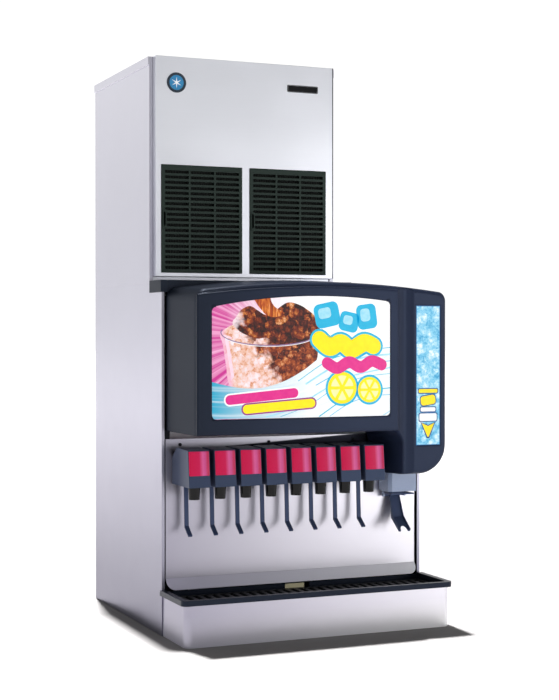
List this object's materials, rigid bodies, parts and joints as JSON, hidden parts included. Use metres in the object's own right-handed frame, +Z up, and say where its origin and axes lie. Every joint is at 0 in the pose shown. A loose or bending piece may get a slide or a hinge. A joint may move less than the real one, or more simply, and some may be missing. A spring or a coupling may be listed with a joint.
{
  "type": "fountain soda dispenser",
  "caption": "Countertop ice and drink dispenser: steel cabinet with a row of lever valves, lit sign shell, ice chute, drip tray, and a modular ice maker on top.",
  "frame": {"origin": "middle of the footprint on the counter, at the lowest point", "axes": "+X to the viewer's right, +Y to the rear, +Z up; the valves face -Y"},
  "size_m": [0.774, 0.8, 1.53],
  "materials": {
    "stainless": "brushed stainless sheet, light cool grey",
    "zinc_steel": "galvanised sheet, dull spangle",
    "cap_plastic": "dark grey moulded plastic, fine grain",
    "shell_plastic": "blue-black moulded plastic with a fine leather grain",
    "main_sign_panel": null,
    "ice_sign_panel": null,
    "lamp_tube": "white diffuser tube",
    "cover_plastic": "slate moulded plastic, satin",
    "lever_plastic": "blue-grey moulded plastic, satin",
    "nozzle_plastic": "black moulded plastic, semi-gloss",
    "valve_plastic": "off-white acetal",
    "tube_steel": "drawn stainless tube",
    "cast_aluminium": "cast aluminium, dull",
    "bin_plastic": "white food-grade polyethylene",
    "agitator_steel": "polished stainless bar",
    "motor_paint": "black enamel",
    "chute_plastic": "grey-blue translucent moulded plastic",
    "gate_plastic": "white acetal",
    "tray_plastic": "slate-blue moulded plastic, satin",
    "rest_plastic": "black moulded plastic",
    "grille_plastic": "green-black moulded plastic",
    "coil_fins": "aluminium fins with copper tube ends",
    "fan_metal": "pressed aluminium",
    "barrel_steel": "stainless cylinder",
    "screw_steel": "bright screw heads",
    "fitting_plastic": "black glass-filled nylon"
  },
  "bodies": {
    "root": {"side_panel_left": "stainless", "side_panel_right": "stainless", "base_pan": "zinc_steel", "frame_posts": "zinc_steel", "top_deck": "stainless", "splash_panel": "stainless", "panel_screws": "screw_steel", "top_cap": "cap_plastic", "rear_panel": "stainless", "service_fittings": "fitting_plastic", "drip_tray": "tray_plastic", "tray_skirt": "stainless", "valve_cover_1": "cover_plastic", "valve_cover_2": "cover_plastic", "valve_cover_3": "cover_plastic", "valve_cover_4": "cover_plastic", "valve_cover_5": "cover_plastic", "valve_cover_6": "cover_plastic", "valve_cover_7": "cover_plastic", "valve_cover_8": "cover_plastic", "valve_bodies": "valve_plastic", "valve_nozzles": "nozzle_plastic", "product_tubes": "tube_steel", "cold_plate": "cast_aluminium", "ice_bin": "bin_plastic", "agitator_motor": "motor_paint", "ice_chute": "chute_plastic", "merchandiser": "shell_plastic", "main_sign": "main_sign_panel", "ice_sign": "ice_sign_panel", "sign_lamps": "lamp_tube", "icemaker_side_left": "stainless", "icemaker_side_right": "stainless", "icemaker_rear_panel": "stainless", "icemaker_lid": "stainless", "icemaker_base": "zinc_steel", "icemaker_front_panel": "stainless", "condenser": "coil_fins", "fan_motor": "motor_paint", "compressor": "motor_paint", "evaporator": "barrel_steel", "auger_motor": "motor_paint", "ice_spout": "bin_plastic"},
    "valve_lever_1": {"valve_lever_1": "lever_plastic"},
    "valve_lever_2": {"valve_lever_2": "lever_plastic"},
    "valve_lever_3": {"valve_lever_3": "lever_plastic"},
    "valve_lever_4": {"valve_lever_4": "lever_plastic"},
    "valve_lever_5": {"valve_lever_5": "lever_plastic"},
    "valve_lever_6": {"valve_lever_6": "lever_plastic"},
    "valve_lever_7": {"valve_lever_7": "lever_plastic"},
    "valve_lever_8": {"valve_lever_8": "lever_plastic"},
    "ice_lever": {"ice_lever": "lever_plastic"},
    "ice_gate": {"ice_gate": "gate_plastic"},
    "agitator": {"agitator": "agitator_steel"},
    "fan": {"fan_blade": "fan_metal"},
    "auger": {"auger": "agitator_steel"},
    "cup_rest": {"cup_rest": "rest_plastic"},
    "fill_lid": {"fill_lid": "stainless"},
    "air_grille_left": {"air_grille_left": "grille_plastic"},
    "air_grille_right": {"air_grille_right": "grille_plastic"}
  },
  "joints": [
    {"name": "valve_lever_1_hinge", "type": "hinge", "parent": "root", "child": "valve_lever_1", "pos_m": [-0.322, -0.24, 0.408], "axis": [1, 0, 0], "range_deg": [0, 12], "stiffness_Nm_per_rad": 0.8, "springref_deg": -6.88},
    {"name": "valve_lever_2_hinge", "type": "hinge", "parent": "root", "child": "valve_lever_2", "pos_m": [-0.2506, -0.24, 0.408], "axis": [1, 0, 0], "range_deg": [0, 12], "stiffness_Nm_per_rad": 0.8, "springref_deg": -6.88},
    {"name": "valve_lever_3_hinge", "type": "hinge", "parent": "root", "child": "valve_lever_3", "pos_m": [-0.1792, -0.24, 0.408], "axis": [1, 0, 0], "range_deg": [0, 12], "stiffness_Nm_per_rad": 0.8, "springref_deg": -6.88},
    {"name": "valve_lever_4_hinge", "type": "hinge", "parent": "root", "child": "valve_lever_4", "pos_m": [-0.1078, -0.24, 0.408], "axis": [1, 0, 0], "range_deg": [0, 12], "stiffness_Nm_per_rad": 0.8, "springref_deg": -6.88},
    {"name": "valve_lever_5_hinge", "type": "hinge", "parent": "root", "child": "valve_lever_5", "pos_m": [-0.0364, -0.24, 0.408], "axis": [1, 0, 0], "range_deg": [0, 12], "stiffness_Nm_per_rad": 0.8, "springref_deg": -6.88},
    {"name": "valve_lever_6_hinge", "type": "hinge", "parent": "root", "child": "valve_lever_6", "pos_m": [0.035, -0.24, 0.408], "axis": [1, 0, 0], "range_deg": [0, 12], "stiffness_Nm_per_rad": 0.8, "springref_deg": -6.88},
    {"name": "valve_lever_7_hinge", "type": "hinge", "parent": "root", "child": "valve_lever_7", "pos_m": [0.1064, -0.24, 0.408], "axis": [1, 0, 0], "range_deg": [0, 12], "stiffness_Nm_per_rad": 0.8, "springref_deg": -6.88},
    {"name": "valve_lever_8_hinge", "type": "hinge", "parent": "root", "child": "valve_lever_8", "pos_m": [0.1778, -0.24, 0.408], "axis": [1, 0, 0], "range_deg": [0, 12], "stiffness_Nm_per_rad": 0.8, "springref_deg": -6.88},
    {"name": "ice_lever_hinge", "type": "hinge", "parent": "root", "child": "ice_lever", "pos_m": [0.2965, -0.224, 0.345], "axis": [1, 0, 0], "range_deg": [0, 10], "stiffness_Nm_per_rad": 1.2, "springref_deg": -6.88},
    {"name": "ice_gate_hinge", "type": "hinge", "parent": "root", "child": "ice_gate", "pos_m": [0.2965, -0.22075, 0.656], "axis": [-1, 0, 0], "range_deg": [0, 24], "stiffness_Nm_per_rad": 0.3, "springref_deg": -6.88},
    {"name": "agitator_spin", "type": "hinge", "parent": "root", "child": "agitator", "pos_m": [0.09, 0, 0.59], "axis": [0, 1, 0], "continuous": true},
    {"name": "fan_spin", "type": "hinge", "parent": "root", "child": "fan", "pos_m": [-0.24, -0.04, 1.098], "axis": [0, 1, 0], "continuous": true},
    {"name": "auger_spin", "type": "hinge", "parent": "root", "child": "auger", "pos_m": [0.08, 0.06, 1.2], "axis": [0, 0, 1], "continuous": true},
    {"name": "cup_rest_lift", "type": "slide", "parent": "root", "child": "cup_rest", "axis": [0, 0, 1], "range_m": [0, 0.09]},
    {"name": "fill_lid_hinge", "type": "hinge", "parent": "root", "child": "fill_lid", "pos_m": [0.27, 0.262, 0.9065], "axis": [-1, 0, 0], "range_deg": [0, 100]},
    {"name": "air_grille_left_slide", "type": "slide", "parent": "root", "child": "air_grille_left", "axis": [0, -1, 0], "range_m": [0, 0.04]},
    {"name": "air_grille_right_slide", "type": "slide", "parent": "root", "child": "air_grille_right", "axis": [0, -1, 0], "range_m": [0, 0.04]}
  ],
  "couplings": [
    {"joint": "ice_gate_hinge", "follows": "ice_lever_hinge", "ratio": 2.4}
  ]
}
